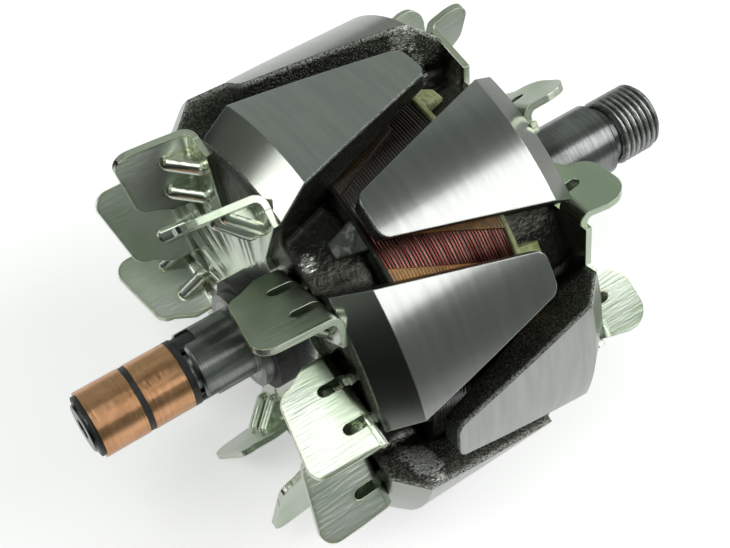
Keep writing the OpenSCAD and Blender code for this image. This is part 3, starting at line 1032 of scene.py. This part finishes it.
@dataclass
class ShaftLine:
    """The shaft with its thread, the collars pressed on it and the guide for the leads."""

    root: float = 0.0071
    crest: float = 0.0080
    pitch: float = 0.0015
    start: float = 0.0636
    end: float = SHAFT_END
    chamfer: float = 0.0009
    lift: float = 0.00002
    inside: float = 0.00426
    flank: float = 1.22
    root_flat: float = 0.08
    rounding: float = 0.35
    steps: int = 16
    columns: int = 96

    def thread(self, finish: bpy.types.Material) -> bpy.types.Object:
        """Builds the thread over the shaft's root cylinder.

        At each point the place within a turn is the place along the shaft over the pitch, less the
        angle over a full turn. The height is a triangle wave of it, cut flat at the crest and the
        root and partly rounded by a smooth step, times a ramp at both ends.

        Args:
            finish: its material.

        Returns:
            The piece.
        """
        rows = round((self.end - self.start) / self.pitch * self.steps) + 1
        along = np.linspace(self.start, self.end, rows)[:, None]
        turn = np.linspace(0, 2 * math.pi, self.columns, endpoint=False)
        place = (along - self.start) / self.pitch - turn / (2 * math.pi)
        triangle = 1 - np.abs(2 * (place - np.floor(place)) - 1)
        rise = np.clip(triangle * self.flank - self.root_flat, 0, 1)
        rise = rise * rise * (3 - 2 * rise) * self.rounding + rise * (1 - self.rounding)
        ramp = np.clip(np.minimum(along - self.start, self.end - along) / self.chamfer, 0, 1)
        base = self.root + self.lift
        body = ring_of(base + (self.crest - base) * rise * ramp, along, turn)
        ends = [ring_of(np.full(self.columns, self.inside), np.full(self.columns, x), turn)
                for x in (self.end, self.start)]
        return skin("thread", np.concatenate([body, np.stack(ends)]), finish, "shaft_steel")

    def build(self) -> None:
        """Dresses the shaft, the collars and the guide, and builds the thread."""
        dress("shaft", ShaftSteel().make())
        self.thread(ThreadSteel(self.root, self.crest).make())
        collar = CollarSteel().make()
        dress("rear_collar", collar)
        dress("front_collar", collar)
        black = MouldedResin("lead_resin", (0.018, 0.018, 0.019), (0.05, 0.05, 0.05), gloss=0.4)
        dress("lead_guide", black.make())


@dataclass
class SlipRings:
    """The two slip rings and the resin that carries them."""

    nodes: tuple[str, ...] = ("outer_slip_ring", "inner_slip_ring")

    def build(self) -> None:
        """Dresses the rings and the resin."""
        copper = RingCopper().make()
        for node in self.nodes:
            dress(node, copper)
        black = MouldedResin("black_resin", (0.012, 0.012, 0.013), (0.035, 0.035, 0.036), gloss=0.3)
        dress("slip_ring_insulator", black.make())


@dataclass
class Fans:
    """The two pressed fans."""

    nodes: tuple[str, ...] = ("rear_fan", "front_fan")

    def build(self) -> None:
        """Dresses the fans."""
        finish = ZincSheet().make()
        for node in self.nodes:
            dress(node, finish)


# Studio


@dataclass(frozen=True)
class Softbox:
    """A rectangular lamp that faces the rotor, its width along the shaft as far as it can be."""

    name: str
    toward: Point
    distance: float
    width: float
    height: float
    power: float

    def make(self) -> None:
        """Hangs the lamp.

        Its place is the direction to it times its distance. Its width runs along the shaft's axis
        less that axis's share of the direction, and its height across both.
        """
        data = bpy.data.lights.new(self.name, "AREA")
        data.shape = "RECTANGLE"
        data.size = self.width
        data.size_y = self.height
        data.energy = self.power
        lamp = bpy.data.objects.new(self.name, data)
        toward = Vector(self.toward).normalized()
        side = Vector((1.0, 0.0, 0.0)) - toward * toward.x
        side.normalize()
        lamp.location = toward * self.distance
        lamp.rotation_euler = Matrix((side, toward.cross(side), toward)).transposed().to_euler()
        bpy.context.scene.collection.objects.link(lamp)


@dataclass(frozen=True)
class Studio:
    """The pale floor, the lamps, the world and the camera, whose lens and sensor are in millimetres."""

    eye: Point = (-0.094161, -0.131872, 0.224284)
    look: Point = (0.33142, 0.47537, -0.81497)
    lens: float = 64.2833
    sensor: float = 36.0
    floor_drop: float = 0.00005
    floor_half: float = 3.0
    floor_pale: Colour = (0.82, 0.82, 0.82)
    floor_dark: Colour = (0.03, 0.03, 0.03)
    floor_glow: float = 0.46
    reflected_shade: float = 0.22
    room: float = 0.19
    wall: float = 0.22
    wall_toward: Point = (0.50, 0.75, 0.35)
    corner_toward: Point = (-0.80, -0.60, 0.0)
    corner_loss: float = 0.88
    air: Colour = (0.90, 1.0, 0.91)
    lamps: tuple[Softbox, ...] = (
        Softbox("key", (0.40, -0.553, 0.716), distance=0.7, width=0.36, height=0.455, power=1.32),
        Softbox("left", (-0.79, 0.42, 0.46), distance=0.8, width=0.25, height=0.25, power=0.9),
        Softbox("right_fill", (0.84, -0.28, 0.46), distance=0.9, width=0.4, height=0.4, power=3.0),
        Softbox("top_fill", (-0.40, -0.12, 0.90), distance=0.9, width=0.4, height=0.4, power=2.0),
    )

    def floor_finish(self) -> bpy.types.Material:
        """Builds the floor's material.

        It glows to the camera, and less in what the rotor reflects, where three smooth steps
        darken it: most to the left, and some toward the near side and the far right.

        Returns:
            The material.
        """
        r = Recipe("floor")
        path = r.node("ShaderNodeLightPath")
        camera, glossy, through = (Reading(r, path.outputs[f"Is {ray} Ray"])
                                   for ray in ("Camera", "Glossy", "Transmission"))
        along, across, _ = r.axes()
        left = along.ease(-0.05, -0.15)
        near = across.ease(-0.14, -0.34) * 0.7
        right = along.ease(0.12, 0.30) * 0.6
        shaded = glossy * left.most(near).most(right).most(self.reflected_shade)
        seen = camera.most(glossy).most(through)
        return r.close({"Roughness": 0.9, "Specular IOR Level": 0.0, "Emission Color": (1.0, 1.0, 1.0)},
                       Base_Color=r.blend(shaded, self.floor_pale, self.floor_dark),
                       Emission_Strength=seen * (1.0 - shaded) * self.floor_glow)

    def floor(self) -> None:
        """Lays the floor, a square just below the rotor, which keeps the rotor's shadow."""
        half, z = self.floor_half, -CLAWS_OUTSIDE - self.floor_drop
        corners = [(-half, -half, z), (half, -half, z), (half, half, z), (-half, half, z)]
        mesh = bpy.data.meshes.new("floor")
        mesh.from_pydata(corners, [], [(0, 1, 2, 3)])
        mesh.materials.append(self.floor_finish())
        floor = bpy.data.objects.new("floor", mesh)
        bpy.context.scene.collection.objects.link(floor)

    def world(self) -> None:
        """Lights the room softly from all round, more from the far right and hardly from the low left.

        The strength is the room's level plus the wall's times a smooth step of the cosine toward
        it. All of it is taken times one less the corner's loss times such a step toward the corner.
        """
        world = bpy.data.worlds.new("studio")
        world.use_nodes = True
        sky = Nodes(world.node_tree)
        toward = sky.node("ShaderNodeTexCoord").outputs["Generated"]
        wall = sky.cosine(toward, Vector(self.wall_toward).normalized()).ease(0.60, 0.80)
        corner = sky.cosine(toward, Vector(self.corner_toward).normalized()).ease(0.90, 0.98)
        background = sky.tree.nodes["Background"]
        sky.put(background.inputs["Color"], self.air)
        sky.put(background.inputs["Strength"],
                (wall * self.wall + self.room) * (1.0 - corner * self.corner_loss))
        bpy.context.scene.world = world

    def camera(self) -> None:
        """Stands the camera where the photograph was taken from."""
        data = bpy.data.cameras.new("camera")
        data.sensor_fit = "HORIZONTAL"
        data.sensor_width = self.sensor
        data.lens = self.lens
        data.clip_start = 0.01
        camera = bpy.data.objects.new("camera", data)
        camera.location = self.eye
        camera.rotation_euler = Vector(self.look).to_track_quat("-Z", "Y").to_euler()
        bpy.context.scene.collection.objects.link(camera)
        bpy.context.scene.camera = camera

    def build(self) -> None:
        """Sets up the whole studio."""
        self.camera()
        self.floor()
        self.world()
        for lamp in self.lamps:
            lamp.make()
        bpy.context.scene.view_settings.view_transform = "Standard"


def main() -> None:
    """Builds the studio and the rotor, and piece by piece."""
    logging.basicConfig(level=logging.INFO, format="%(name)s %(message)s")
    Studio().build()
    for part in (PolePieces(), FieldCoil(), ShaftLine(), SlipRings(), Fans()):
        log.info("building %s", type(part).__name__)
        part.build()


if __name__ == "__main__":
    main()
